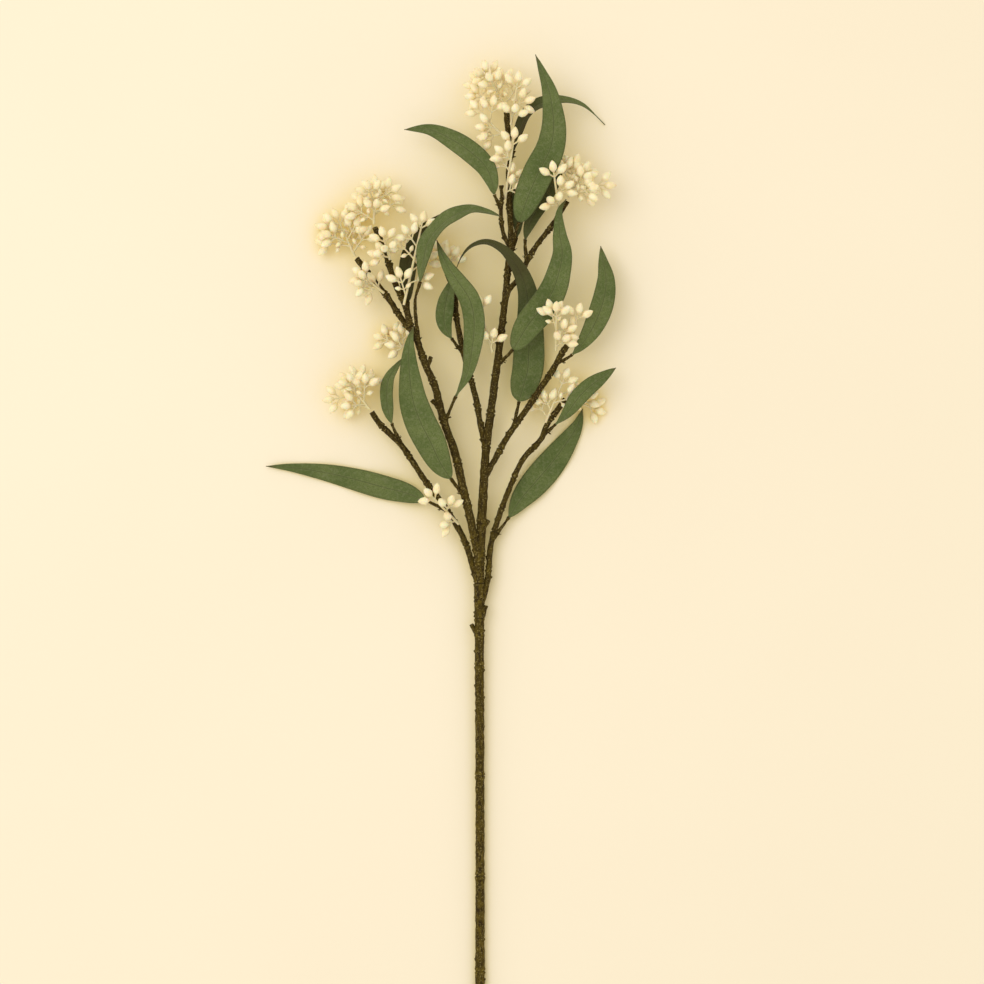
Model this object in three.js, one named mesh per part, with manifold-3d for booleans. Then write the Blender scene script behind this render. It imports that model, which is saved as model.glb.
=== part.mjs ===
// An artificial eucalyptus spray lying on a flat surface, +Z up, millimetres.
// The main stem runs along +Y and the side branches are pressed into it. Both carry the
// stalks of the leaves. The leaves and the bud sprays are separate pieces pushed onto them.
import * as THREE from 'three';
import { mergeVertices } from 'three/addons/utils/BufferGeometryUtils.js';
import Module from 'manifold-3d';

const wasm = await Module();
wasm.setup();

// Driving dimensions
const JOIN_GAP = 0.3; // clearance between two pieces that touch
const STEM_SIDES = 8;
const BRANCH_SIDES = 6;
const STALK_SIDES = 5;
const STALK_RADIUS = 1.1; // leaf stalk, moulded with its branch
const STALK_STEP = 8;
const STUB_RADIUS = [2, 1.6]; // a short cut-off side shoot
const STEM_STEP = 26;
const BRANCH_STEP = 18;
const JOINT_RISE = 0.5; // how far a ring joint stands proud of the stem
const JOINT_HALF = 2.2; // half its height along the stem
const MEASURING_STEPS = 60; // straight pieces used to measure along a curve

const LEAF_STATIONS = 11;
const LONG_LEAF_STATIONS = 18;
const LONG_LEAF = 140; // a blade longer than this takes the larger number of stations
const LEAF_MIDDLE = 0.45; // half thickness along the midrib
const LEAF_EDGE = 0.3; // half thickness at the margin
const LEAF_NECK = 1.0; // half width where the blade meets its stalk
const LEAF_POINT = 0.35; // half width at the tip
const BLADE_FULLNESS = 0.85; // below 1 rounds off both ends of a blade, above 1 draws them out
const CHANNEL_SHARE = 0.18; // how far the margins rise for the half width
const CHANNEL_DEEPEST = 1.6;

const BUD_LENGTH = 10;
const BUD_RADIUS = 3.1;
const BUD_WIDEST = 0.45; // share of the bud's length
const BUD_POINT = 0.4;
const BUD_STALK = 4.5; // thin stalk of one bud
const BUD_STALK_RADIUS = 0.6;
const PEDICEL_RADIUS = 0.7;
const PEDICEL_SIDES = 4;
const TWIG_OVERRUN = 0.35;
const SPRAY_STALK_RADIUS = 0.85;
const SPRAY_OPENING = THREE.MathUtils.degToRad(60); // twig to stalk
const TRIO_OPENING = THREE.MathUtils.degToRad(48); // outer buds to middle bud
const TWIGS_FROM = 0.12; // shares of a spray's stalk between which its twigs stand
const TWIGS_TO = 0.92;
const TWIG_REACHES = [1, 0.65, 1.25]; // one side twig after another, times the spray's reach
const TWIG_TURN = 2 * Math.PI * (3 - Math.sqrt(5)); // twice the golden angle

const MAIN_STEM = {
  name: 'main_stem',
  radius: [3.8, 3.6, 3.55, 3.6, 4.1, 3.3, 2.9, 2.3, 2.3],
  route: [
    [0, -22, 3.9], [0, 150, 5.5], [-0.5, 280, 9], [-0.5, 330, 11.5], [2, 378, 14.5],
    [5, 425, 17.5], [10, 464, 20], [14, 494, 22], [20, 543, 25], [22.5, 571, 26.5],
    [24.5, 590, 27.5], [23, 624, 29], [23, 662, 31], [21, 690, 33],
  ],
  joints: [30, 106, 186, 300, 312, 340, 450],
  stubs: [
    [[0.5, 286, 9.5], [5, 300, 11.5]],
    [[-0.5, 273, 9], [-6.8, 285, 10.5]],
    [[2, 361, 13.5], [7, 368, 14.5]],
  ],
};

const BRANCHES = [
  {
    name: 'lower_left_branch',
    radius: [2.3, 2.4, 2.3],
    route: [
      [-1, 315, 10.5], [-5, 328, 10.5], [-12, 351, 11], [-25, 374, 12], [-44, 400, 13],
      [-63, 428, 14.5], [-79, 444, 16], [-86, 454, 17],
    ],
    joints: [34, 92],
  },
  {
    name: 'left_branch',
    radius: [3.1, 3.3, 3, 2.5, 2.2],
    route: [
      [-0.5, 334, 12.5], [-4.5, 354, 15], [-8, 371, 17.5], [-13.5, 394, 20.5], [-20, 422, 23.5],
      [-29, 448, 26.5], [-36, 475, 28.5], [-43, 491, 29], [-50, 511, 29.5], [-54.5, 521, 30],
      [-58, 535, 30], [-68, 558, 28.5], [-73, 574, 27], [-83, 600, 24],
    ],
    joints: [48, 150, 196],
    stubs: [
      [[-31, 455, 27], [-38, 463, 28.5]],
      [[-42, 487, 29], [-38.5, 497, 31.5]],
    ],
  },
  {
    name: 'outer_bud_twig',
    parent: 'left_branch',
    radius: [2.2, 2.3],
    route: [[-52, 515, 29], [-63, 529, 26], [-74, 546, 21.5], [-84, 558, 17], [-98, 576, 12]],
    joints: [40],
  },
  {
    name: 'centre_left_branch',
    radius: [2.4, 2.2],
    route: [
      [5.4, 422, 17], [0.5, 444, 17], [-3, 464, 17.5], [-7, 479, 18], [-14.5, 507, 18.5],
      [-19, 532, 18], [-20, 547, 17.5], [-26, 564, 16],
    ],
    joints: [60, 110],
  },
  {
    name: 'lower_right_branch',
    radius: [2.4, 2.2, 2.2],
    route: [
      [1, 300, 9.5], [5.8, 319, 10], [8.6, 348, 10], [13.5, 366, 10], [25.5, 398, 11],
      [34, 416, 11.5], [49, 433, 12], [53, 443, 13], [61, 455, 14], [68, 464, 15],
    ],
    joints: [80, 164],
  },
  {
    name: 'middle_right_branch',
    radius: [2.4, 2.4],
    route: [
      [4, 402, 17], [9.5, 412, 18], [17, 426, 20], [27, 442, 22], [37, 456, 24],
      [53, 480, 26.5], [60, 491, 28], [65, 500, 29], [72, 510, 30],
    ],
    joints: [50, 118],
  },
  {
    name: 'upper_right_branch',
    radius: [2.2, 2],
    route: [
      [19.5, 540, 25], [23, 550, 26.5], [30.5, 559, 28], [36.5, 571, 29.5], [46, 587, 30.5],
      [55, 598, 31.5], [69, 620, 32],
    ],
    joints: [44],
  },
  {
    name: 'upper_left_twig',
    radius: [1.7, 1.5],
    route: [[24, 582, 27.5], [18, 597, 30.5], [16.5, 613, 33], [17.5, 624, 35], [16.5, 632, 36]],
    joints: [24],
  },
];

// A leaf's route starts inside its branch. Its blade begins at point number `stalk`.
const LEAVES = [
  {
    name: 'tall_top_leaf',
    branch: 'main_stem',
    width: 24,
    widest: 0.3,
    roll: [12, -14],
    route: [
      [25, 586, 28], [31, 603, 36], [37, 620, 42], [46, 641, 46], [55, 659, 47], [58, 676, 46],
      [57, 692, 43], [54, 708, 39], [49, 722, 35], [44, 736, 30],
    ],
  },
  {
    name: 'top_right_leaf',
    branch: 'main_stem',
    width: 12,
    widest: 0.28,
    fullness: 1.6,
    roll: [48, 12],
    route: [
      [23, 650, 30.5], [27, 660, 31], [30, 672, 32], [36, 687, 33], [44, 695, 32], [56, 700, 28],
      [69, 701, 22], [82, 698, 15], [92, 691, 8], [100, 684, 0.6],
    ],
  },
  {
    name: 'top_left_leaf',
    branch: 'upper_left_twig',
    width: 17,
    widest: 0.38,
    roll: [8, -10],
    route: [
      [16.5, 614, 33], [11.5, 625, 35], [10, 634, 37], [5, 646, 38], [-7, 658, 37],
      [-23, 669, 33], [-40, 677, 27], [-60, 678, 20],
    ],
  },
  {
    name: 'arching_left_leaf',
    branch: 'left_branch',
    stalk: 2,
    width: 17,
    widest: 0.42,
    roll: [38, 46],
    route: [
      [-48, 506, 29], [-51, 541, 34], [-47, 556, 38], [-44, 574, 42], [-41, 586, 44],
      [-34, 596, 46], [-24, 605, 46], [-8, 612, 44], [5, 610.5, 43], [17, 607, 42],
    ],
  },
  {
    name: 'shaded_left_leaf',
    branch: 'left_branch',
    width: 14,
    widest: 0.35,
    roll: [-12, 6],
    route: [
      [-55, 522, 30], [-57, 541, 22], [-58, 560, 19.5], [-55, 580, 19], [-46, 596, 20],
      [-34, 606, 21], [-18, 615, 22],
    ],
  },
  {
    name: 'wide_centre_leaf',
    branch: 'middle_right_branch',
    width: 25,
    widest: 0.18,
    fullness: 1.15,
    roll: [4, -38],
    route: [
      [27, 443, 22], [31, 462, 18], [35, 476, 14], [38, 488, 13], [39, 508, 13], [39, 528, 16],
      [38, 542, 22], [36, 553, 30], [31.5, 564, 35], [25, 574, 37], [17, 582, 38], [5, 587, 38.5],
      [-6, 584.5, 36], [-14, 577, 31], [-19, 567, 25],
    ],
  },
  {
    name: 'centre_right_leaf',
    branch: 'main_stem',
    width: 23,
    widest: 0.3,
    roll: [-6, 12],
    route: [
      [14, 491, 22], [26, 503, 28], [38, 522, 32], [51, 538, 35], [58, 550, 37], [62, 562, 38],
      [65, 578, 39], [63, 593, 39], [63, 612, 39], [68, 621, 38],
    ],
  },
  {
    name: 's_curved_leaf',
    branch: 'left_branch',
    width: 17,
    widest: 0.5,
    roll: [-14, 16],
    route: [
      [-28, 445, 26], [-19, 466, 29], [-10, 484, 31], [-6, 504, 34], [-4.5, 526, 36],
      [-8, 542, 37], [-17, 556, 38], [-25, 568, 37], [-30, 578, 36], [-34, 589, 35],
    ],
  },
  {
    name: 'short_centre_leaf',
    branch: 'centre_left_branch',
    width: 14,
    widest: 0.45,
    roll: [6, -10],
    route: [
      [-14, 502, 18.5], [-22.5, 512, 22], [-28, 524, 24], [-27, 540, 24.5], [-24, 552, 24],
      [-22, 561, 23],
    ],
  },
  {
    name: 'long_lower_left_leaf',
    branch: 'lower_left_branch',
    width: 19,
    widest: 0.3,
    roll: [4, -4],
    route: [
      [-27, 376, 12], [-44, 384, 9], [-60, 390, 4.5], [-76, 394, 1.8], [-98, 400, 0.7],
      [-124, 406, 0.6], [-152, 410, 1.4], [-171, 411, 3],
    ],
  },
  {
    name: 'big_left_leaf',
    branch: 'left_branch',
    width: 25,
    widest: 0.35,
    roll: [8, -12],
    route: [
      [-12, 386, 19.5], [-23, 401, 24], [-31, 413, 27.5], [-39, 430, 31], [-47, 446, 33],
      [-52.5, 462, 34.5], [-55, 479, 35.5], [-56, 495, 36], [-55, 511, 36], [-52, 521, 36],
    ],
  },
  {
    name: 'small_left_leaf',
    branch: 'lower_left_branch',
    width: 11,
    widest: 0.4,
    roll: [20, 10],
    route: [
      [-63, 429, 14.5], [-70, 445, 18], [-73.5, 462, 20], [-72.5, 479, 21], [-66, 490, 21],
      [-61, 497, 20],
    ],
  },
  {
    name: 'lower_right_leaf',
    branch: 'lower_right_branch',
    width: 23,
    widest: 0.42,
    roll: [-4, 6],
    route: [
      [11, 354, 10], [23, 370, 7.5], [32, 384, 4], [44, 398, 1.6], [56, 412, 0.8],
      [68, 428, 0.6], [78, 444, 1.4], [82, 457, 3.2],
    ],
  },
  {
    name: 'short_right_leaf',
    branch: 'lower_right_branch',
    width: 14,
    widest: 0.5,
    roll: [18, 2],
    route: [
      [51, 436, 12.3], [60, 444, 17], [70, 454, 23], [78, 465, 26], [86, 473, 26],
      [98, 482, 23], [108, 489, 18],
    ],
  },
  {
    name: 'upper_right_leaf',
    branch: 'middle_right_branch',
    width: 18,
    widest: 0.45,
    roll: [-10, 12],
    route: [
      [61, 492, 28], [73, 499, 31], [84, 512, 31.5], [92, 526, 30], [98, 543, 26.5],
      [100, 559, 22], [98, 573, 17.5], [96, 586, 14],
    ],
  },
  {
    name: 'hidden_right_leaf',
    branch: 'upper_right_branch',
    width: 12,
    widest: 0.4,
    roll: [10, -10],
    route: [
      [37, 572, 29.5], [36, 590, 27.5], [41, 606, 27], [52, 624, 26], [61, 640, 25],
      [65, 660, 24],
    ],
  },
  {
    name: 'hidden_top_leaf',
    branch: 'main_stem',
    width: 11,
    widest: 0.4,
    roll: [-14, -4],
    route: [
      [24, 577, 27], [29, 592, 23.5], [30, 610, 22], [30, 624, 23], [34, 635, 25],
      [40, 647, 27], [43, 659, 28],
    ],
  },
];

// A spray is a stalk from `start` to `end` with `twigs` side twigs of three buds each
// and three more buds on its end. `reach` is how far a twig goes, `flat` squeezes the
// spray in Z, and `spin` is the turn of its first twig about the stalk, in radians.
const SPRAYS = [
  {
    name: 'tip_buds', start: [20.6, 692.5, 33.5], end: [8, 718.5, 29.5],
    twigs: 8, reach: 12, flat: 0.8, spin: 6.1,
  },
  {
    name: 'tip_left_buds', start: [19, 670, 35.5], end: [2, 688.5, 37.5],
    twigs: 3, reach: 6, flat: 0.4, spin: 3.7,
  },
  {
    name: 'tip_right_buds', start: [24.5, 680, 34], end: [29, 707.5, 43.5],
    twigs: 2, reach: 6, flat: 0.45, spin: 1.5,
  },
  {
    name: 'upper_stem_buds', start: [20, 622, 32.5], end: [26, 663, 45],
    twigs: 4, reach: 3.5, flat: 0.45, spin: 0.7,
  },
  {
    name: 'upper_right_buds', start: [70, 622.5, 33], end: [79.5, 638.5, 34.5],
    twigs: 8, reach: 14, flat: 0.6, spin: 1,
  },
  {
    name: 'upper_fork_buds', start: [62.5, 612, 35], end: [58.5, 637, 49.5],
    twigs: 2, reach: 5, flat: 0.45, spin: 1.9,
  },
  {
    name: 'inner_left_buds', start: [-84, 602.5, 24], end: [-83.5, 627.5, 23.5],
    twigs: 8, reach: 11, flat: 0.8, spin: 2.9,
  },
  {
    name: 'outer_left_buds', start: [-99.5, 578, 11.6], end: [-111, 603, 15],
    twigs: 8, reach: 12, flat: 0.45, spin: 0.3,
  },
  {
    name: 'inner_twig_buds', start: [-71, 574, 31], end: [-74.5, 587, 39],
    twigs: 2, reach: 4, flat: 0.8, spin: 3.2,
  },
  {
    name: 'outer_side_buds', start: [-76, 548, 24], end: [-90, 559, 31],
    twigs: 3, reach: 5, flat: 0.4, spin: 4.9,
  },
  {
    name: 'left_cluster_buds', start: [-60, 538, 33], end: [-46.5, 598.5, 32.5],
    twigs: 5, reach: 11, flat: 0.3, spin: 1.9,
  },
  {
    name: 'side_left_buds', start: [-52, 503, 26.5], end: [-73, 511, 16],
    twigs: 3, reach: 7, flat: 0.3, spin: 1.7,
  },
  {
    name: 'lower_end_buds', start: [-87.4, 456, 17.2], end: [-102, 474, 19],
    twigs: 8, reach: 12, flat: 0.7, spin: 4,
  },
  {
    name: 'low_node_buds', start: [-17, 365, 15], end: [-35.5, 384.5, 34],
    twigs: 2, reach: 4, flat: 0.4, spin: 2.2,
  },
  {
    name: 'centre_buds', start: [10, 501, 25], end: [1, 534, 31.5],
    twigs: 1, reach: 4, flat: 0.3, spin: 1.3,
  },
  {
    name: 'right_fork_buds', start: [60, 502, 31], end: [60, 527.5, 48.5],
    twigs: 3, reach: 8, flat: 0.4, spin: 1.2,
  },
  {
    name: 'right_end_buds', start: [73.4, 512.4, 31], end: [76.5, 526.5, 38],
    twigs: 1, reach: 2, flat: 0.6, spin: 3.6,
  },
  {
    name: 'lower_right_buds', start: [52, 445.5, 16.2], end: [65, 476, 19.5],
    twigs: 4, reach: 8, flat: 0.2, spin: 3.7,
  },
  {
    name: 'far_right_buds', start: [69.6, 465, 14.6], end: [88, 458, 8],
    twigs: 2, reach: 5, flat: 0.6, spin: 4,
  },
  {
    name: 'hidden_centre_buds', start: [-27.4, 566, 15.8], end: [-32, 578, 16.5],
    twigs: 3, reach: 8, flat: 0.5, spin: 0.7,
  },
];

const UP = new THREE.Vector3(0, 0, 1);

const BARK = { color: 0x4c3f22, roughness: 0.75, metalness: 0 };
const LEAF = { color: 0x53663f, roughness: 0.8, metalness: 0 };
const BUD = { color: 0xf6e8cc, roughness: 0.55, metalness: 0 };

function routeCurve(route) {
  const points = route.map((point) => new THREE.Vector3(...point));
  return new THREE.CatmullRomCurve3(points, false, 'centripetal');
}

// The place, and the sideways and upward directions, at a length along a curve.
function stationAt(curve, length) {
  const share = THREE.MathUtils.clamp(length / curve.getLength(), 0, 1);
  const centre = curve.getPointAt(share);
  const forward = curve.getTangentAt(share).normalize();
  const side = new THREE.Vector3().crossVectors(forward, UP).normalize();
  const up = new THREE.Vector3().crossVectors(side, forward).normalize();
  return { centre, forward, side, up };
}

function sectionRing(station, outline) {
  return outline.map(([across, rise]) => station.centre.clone()
    .addScaledVector(station.side, across)
    .addScaledVector(station.up, rise));
}

function roundOutline(radius, sides) {
  const outline = [];
  for (let i = 0; i < sides; i += 1) {
    const angle = (i / sides) * Math.PI * 2;
    outline.push([Math.cos(angle) * radius, Math.sin(angle) * radius]);
  }
  return outline;
}

// A closed body through rings of equally many points, with flat ends.
function loft(rings) {
  const count = rings[0].length;
  const positions = [];
  const index = [];
  for (const ring of rings) {
    for (const point of ring) positions.push(point.x, point.y, point.z);
  }
  for (let row = 0; row < rings.length - 1; row += 1) {
    for (let i = 0; i < count; i += 1) {
      const next = (i + 1) % count;
      const near = row * count;
      const far = near + count;
      index.push(near + i, far + next, near + next);
      index.push(near + i, far + i, far + next);
    }
  }
  const last = (rings.length - 1) * count;
  for (let i = 1; i < count - 1; i += 1) {
    index.push(0, i, i + 1);
    index.push(last, last + i + 1, last + i);
  }
  const geometry = new THREE.BufferGeometry();
  geometry.setAttribute('position', new THREE.Float32BufferAttribute(positions, 3));
  geometry.setIndex(index);
  return geometry;
}

function toSolid(geometry) {
  const merged = mergeVertices(geometry);
  return new wasm.Manifold(new wasm.Mesh({
    numProp: 3,
    vertProperties: new Float32Array(merged.attributes.position.array),
    triVerts: new Uint32Array(merged.index.array),
  }));
}

function toGeometry(solid) {
  const mesh = solid.getMesh();
  const geometry = new THREE.BufferGeometry();
  geometry.setAttribute('position', new THREE.Float32BufferAttribute(mesh.vertProperties, 3));
  geometry.setIndex(new THREE.Uint32BufferAttribute(mesh.triVerts, 1));
  geometry.computeVertexNormals();
  return geometry;
}

// The value at a share of the way along a list of evenly spaced values.
function alongList(values, share) {
  const place = THREE.MathUtils.clamp(share, 0, 1) * (values.length - 1);
  const number = Math.min(Math.floor(place), values.length - 2);
  return THREE.MathUtils.lerp(values[number], values[number + 1], place - number);
}

// A tapering round rod along a curve between two lengths, thicker at its ring joints.
function rod(curve, { from = 0, to = curve.getLength(), radius, sides, step, joints = [], grow = 0 }) {
  const total = curve.getLength();
  const lengths = new Map();
  const steps = Math.max(1, Math.ceil((to - from) / step));
  for (let i = 0; i <= steps; i += 1) lengths.set(from + ((to - from) * i) / steps, 0);
  for (const joint of joints) {
    for (const near of [...lengths.keys()]) {
      const inside = near > from && near < to;
      if (inside && Math.abs(near - joint) < 2 * JOINT_HALF) lengths.delete(near);
    }
    lengths.set(joint - JOINT_HALF, 0);
    lengths.set(joint, JOINT_RISE);
    lengths.set(joint + JOINT_HALF, 0);
  }
  const sorted = [...lengths.entries()].sort((a, b) => a[0] - b[0]);
  const rings = sorted.map(([length, rise]) => {
    const plain = alongList(radius, length / total);
    return sectionRing(stationAt(curve, length), roundOutline(plain + rise + grow, sides));
  });
  return toSolid(loft(rings));
}

// The length along a curve from its start to one of the points that it goes through.
function routeLength(curve, pointNumber) {
  const lastShare = pointNumber / (curve.points.length - 1);
  let length = 0;
  let before = curve.getPoint(0);
  for (let i = 1; i <= MEASURING_STEPS; i += 1) {
    const here = curve.getPoint((lastShare * i) / MEASURING_STEPS);
    length += here.distanceTo(before);
    before = here;
  }
  return length;
}

function bladeShare(along, widest, fullness = BLADE_FULLNESS) {
  const power = Math.log(0.5) / Math.log(widest);
  return Math.sin(Math.PI * along ** power) ** fullness;
}

// Half a leaf's width and its roll at a share of the blade's length.
function bladeOutline(leaf, along) {
  const share = bladeShare(along, leaf.widest, leaf.fullness);
  const smallest = THREE.MathUtils.lerp(LEAF_NECK, LEAF_POINT, along);
  const half = Math.max(smallest, (share * leaf.width) / 2);
  const channel = Math.min(half * CHANNEL_SHARE, CHANNEL_DEEPEST);
  const roll = THREE.MathUtils.degToRad(THREE.MathUtils.lerp(leaf.roll[0], leaf.roll[1], along));
  const flat = [
    [half, channel - LEAF_EDGE], [half, channel + LEAF_EDGE], [0, LEAF_MIDDLE],
    [-half, channel + LEAF_EDGE], [-half, channel - LEAF_EDGE], [0, -LEAF_MIDDLE],
  ];
  return flat.map(([across, rise]) => [
    across * Math.cos(roll) - rise * Math.sin(roll),
    across * Math.sin(roll) + rise * Math.cos(roll),
  ]);
}

function leafBlade(leaf) {
  const curve = routeCurve(leaf.route);
  const start = routeLength(curve, leaf.stalk ?? 1) + JOIN_GAP;
  const length = curve.getLength() - start;
  const stations = length > LONG_LEAF ? LONG_LEAF_STATIONS : LEAF_STATIONS;
  const rings = [];
  for (let i = 0; i < stations; i += 1) {
    const along = i / (stations - 1);
    const station = stationAt(curve, start + along * length);
    rings.push(sectionRing(station, bladeOutline(leaf, along)));
  }
  return toSolid(loft(rings));
}

function leafStalk(leaf) {
  const curve = routeCurve(leaf.route);
  const to = routeLength(curve, leaf.stalk ?? 1);
  const radius = [STALK_RADIUS, STALK_RADIUS];
  return rod(curve, { to, radius, sides: STALK_SIDES, step: STALK_STEP });
}

function stub(points) {
  const curve = new THREE.LineCurve3(...points.map((point) => new THREE.Vector3(...point)));
  return rod(curve, { radius: STUB_RADIUS, sides: STALK_SIDES, step: Infinity });
}

// A straight twig that runs a little past its end, so that the buds there join inside it.
function stick(start, end, radius) {
  const beyond = end.clone().sub(start).setLength(TWIG_OVERRUN).add(end);
  return rod(new THREE.LineCurve3(start, beyond), {
    radius: [radius, radius], sides: PEDICEL_SIDES, step: Infinity,
  });
}

// One bud with its thin stalk, from the hub where the stalk starts.
function bud(hub, direction) {
  const length = BUD_STALK + BUD_LENGTH;
  const curve = new THREE.LineCurve3(hub, hub.clone().addScaledVector(direction, length));
  const swelling = [
    [0, BUD_STALK_RADIUS], [BUD_STALK, BUD_STALK_RADIUS],
    [BUD_STALK + BUD_LENGTH * BUD_WIDEST, BUD_RADIUS], [length, BUD_POINT],
  ];
  const rings = swelling.map(([along, radius]) => {
    return sectionRing(stationAt(curve, along), roundOutline(radius, PEDICEL_SIDES));
  });
  return toSolid(loft(rings));
}

// Three buds on short stalks that spread in the plane of `direction` and `sideways`.
function budTrio(parts, hub, direction, sideways) {
  for (const turn of [-1, 0, 1]) {
    const angle = turn * TRIO_OPENING;
    const way = direction.clone().multiplyScalar(Math.cos(angle))
      .addScaledVector(sideways, Math.sin(angle)).normalize();
    parts.push(bud(hub, way));
  }
}

function budSpray({ start, end, twigs, reach, flat, spin }) {
  const foot = new THREE.Vector3(...start);
  const head = new THREE.Vector3(...end);
  const axis = head.clone().sub(foot).normalize();
  const side = new THREE.Vector3().crossVectors(axis, UP).normalize();
  const up = new THREE.Vector3().crossVectors(side, axis).normalize();
  const parts = [stick(foot, head, SPRAY_STALK_RADIUS)];
  for (let i = 0; i < twigs; i += 1) {
    const turn = spin + i * TWIG_TURN;
    const outward = side.clone().multiplyScalar(Math.cos(turn))
      .addScaledVector(up, Math.sin(turn) * flat);
    const direction = axis.clone().multiplyScalar(Math.cos(SPRAY_OPENING))
      .addScaledVector(outward, Math.sin(SPRAY_OPENING)).normalize();
    const hub = foot.clone().lerp(head, THREE.MathUtils.lerp(TWIGS_FROM, TWIGS_TO, i / twigs));
    const far = hub.clone().addScaledVector(direction, reach * TWIG_REACHES[i % TWIG_REACHES.length]);
    const sideways = new THREE.Vector3().crossVectors(direction, up).normalize();
    parts.push(stick(hub, far, PEDICEL_RADIUS));
    budTrio(parts, far, direction, sideways);
  }
  budTrio(parts, head, axis, side);
  return largestBody(wasm.Manifold.union(parts));
}

// Joining and cutting can leave crumbs of no volume, which are dropped.
function largestBody(solid) {
  return solid.decompose().reduce((best, body) => (body.volume() > best.volume() ? body : best));
}

const group = new THREE.Group();

function addPiece(name, solid, finish) {
  const material = new THREE.MeshStandardMaterial(finish);
  const mesh = new THREE.Mesh(toGeometry(solid), material);
  mesh.name = name;
  group.add(mesh);
}

function stalksOf(branch) {
  return LEAVES.filter((leaf) => leaf.branch === branch.name).map(leafStalk);
}

function stubsOf(branch) {
  return (branch.stubs ?? []).map(stub);
}

function branchRod(branch, grow) {
  const main = branch.name === MAIN_STEM.name;
  return rod(routeCurve(branch.route), {
    radius: branch.radius,
    sides: main ? STEM_SIDES : BRANCH_SIDES,
    step: main ? STEM_STEP : BRANCH_STEP,
    joints: branch.joints,
    grow,
  });
}

const byName = new Map([MAIN_STEM, ...BRANCHES].map((branch) => [branch.name, branch]));

function wholeBranch(branch) {
  return wasm.Manifold.union([branchRod(branch, 0), ...stubsOf(branch), ...stalksOf(branch)]);
}

addPiece(MAIN_STEM.name, wholeBranch(MAIN_STEM), BARK);

for (const branch of BRANCHES) {
  const parent = byName.get(branch.parent ?? MAIN_STEM.name);
  const fitted = wholeBranch(branch).subtract(branchRod(parent, JOIN_GAP));
  addPiece(branch.name, largestBody(fitted), BARK);
}

for (const leaf of LEAVES) addPiece(leaf.name, leafBlade(leaf), LEAF);

for (const spray of SPRAYS) addPiece(spray.name, budSpray(spray), BUD);

// The origin is under the middle of the whole spray, on the surface that it lies on.
const box = new THREE.Box3().setFromObject(group);
const middle = box.getCenter(new THREE.Vector3());
for (const mesh of group.children) {
  mesh.geometry.translate(-middle.x, -middle.y, -box.min.z);
}

export default group;
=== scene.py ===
import math

import bpy
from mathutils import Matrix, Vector


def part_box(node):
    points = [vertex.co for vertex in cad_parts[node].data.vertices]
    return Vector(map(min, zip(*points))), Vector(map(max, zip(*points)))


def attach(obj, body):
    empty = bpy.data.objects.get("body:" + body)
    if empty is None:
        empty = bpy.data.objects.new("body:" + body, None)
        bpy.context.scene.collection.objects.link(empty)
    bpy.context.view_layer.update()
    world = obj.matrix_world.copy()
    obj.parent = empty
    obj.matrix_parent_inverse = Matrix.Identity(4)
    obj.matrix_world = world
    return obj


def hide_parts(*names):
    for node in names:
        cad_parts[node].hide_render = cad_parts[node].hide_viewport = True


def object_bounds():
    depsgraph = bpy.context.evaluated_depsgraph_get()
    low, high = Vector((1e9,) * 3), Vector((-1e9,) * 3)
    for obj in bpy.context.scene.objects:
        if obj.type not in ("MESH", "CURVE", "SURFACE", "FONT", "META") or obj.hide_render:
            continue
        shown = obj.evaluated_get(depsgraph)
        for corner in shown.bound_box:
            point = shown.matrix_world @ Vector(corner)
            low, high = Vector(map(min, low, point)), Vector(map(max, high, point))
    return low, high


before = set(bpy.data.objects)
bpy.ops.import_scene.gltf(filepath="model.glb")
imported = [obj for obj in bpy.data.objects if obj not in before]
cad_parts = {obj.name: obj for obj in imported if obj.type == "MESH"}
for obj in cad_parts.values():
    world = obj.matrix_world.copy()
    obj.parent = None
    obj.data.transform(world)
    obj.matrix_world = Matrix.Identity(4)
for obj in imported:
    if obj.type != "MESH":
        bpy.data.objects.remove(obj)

# An artificial eucalyptus spray lying on a pale surface: moulded brown stems with ring
# joints and leaf stalks, printed cloth leaves, and sprays of cream buds on thin stalks.

cad_low, cad_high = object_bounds()

MM = 0.001
UP = Vector((0, 0, 1))
GOLDEN_ANGLE = math.pi * (3 - math.sqrt(5))

# Stems, in millimetres
STALK_RADIUS = (1.8, 0.95)
STALK_COLLAR = 0.5
COLLAR_FROM = 0.8
STUB_RADIUS = (2.1, 1.6)
JOIN_GAP = 0.3
JOINT_HALF = 3.4
GROOVE_HALF = 0.9
ROD_STEP = 0.9
CURVE_STEPS = 40
MAIN_SIDES = 24
BRANCH_SIDES = 16

# Thorns, four round each leaf stalk, and knots, the blunt scars of old leaves
THORNS = 4
THORN_RADIUS = (0.7, 0.15)
THORN_LENGTH = 4.6
THORN_LEAN = 0.5
THORN_FIRST = 40
THORN_BEYOND = 1.2
KNOT_SPACING = 13.0
KNOT_WANDER = 0.28
KNOT_WANDER_PACE = 5.3
KNOT_TURN = GOLDEN_ANGLE * 1.37
KNOT_RISE = 0.585
KNOT_BEHIND = 2.2
KNOT_AHEAD = 1.6
KNOT_FOOT_SHARE = 0.8
KNOT_HEAD_RADIUS = 0.75
KNOT_END_ROOM = 2

# Leaves, in millimetres
LEAF_STATIONS = 90
LEAF_NECK = 1.0
LEAF_POINT = 0.35
BLADE_FULLNESS = 0.85
CHANNEL_SHARE = 0.18
CHANNEL_DEEPEST = 1.6
CHANNEL_CURVE = 1.6
MIDRIB_HALF = 0.7
VEIN_PAIRS = 15.0
VEIN_SLANT = 0.07
VEIN_SHARPNESS = 6.0
VEIN_FADE = 3.0
WAVE_PACE = 17.0
WAVE_SKEW = 1.3
WAVE_CURVE = 2.5
WAVE_SHARE = 0.12
WAVE_STEP = 1.7

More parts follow.
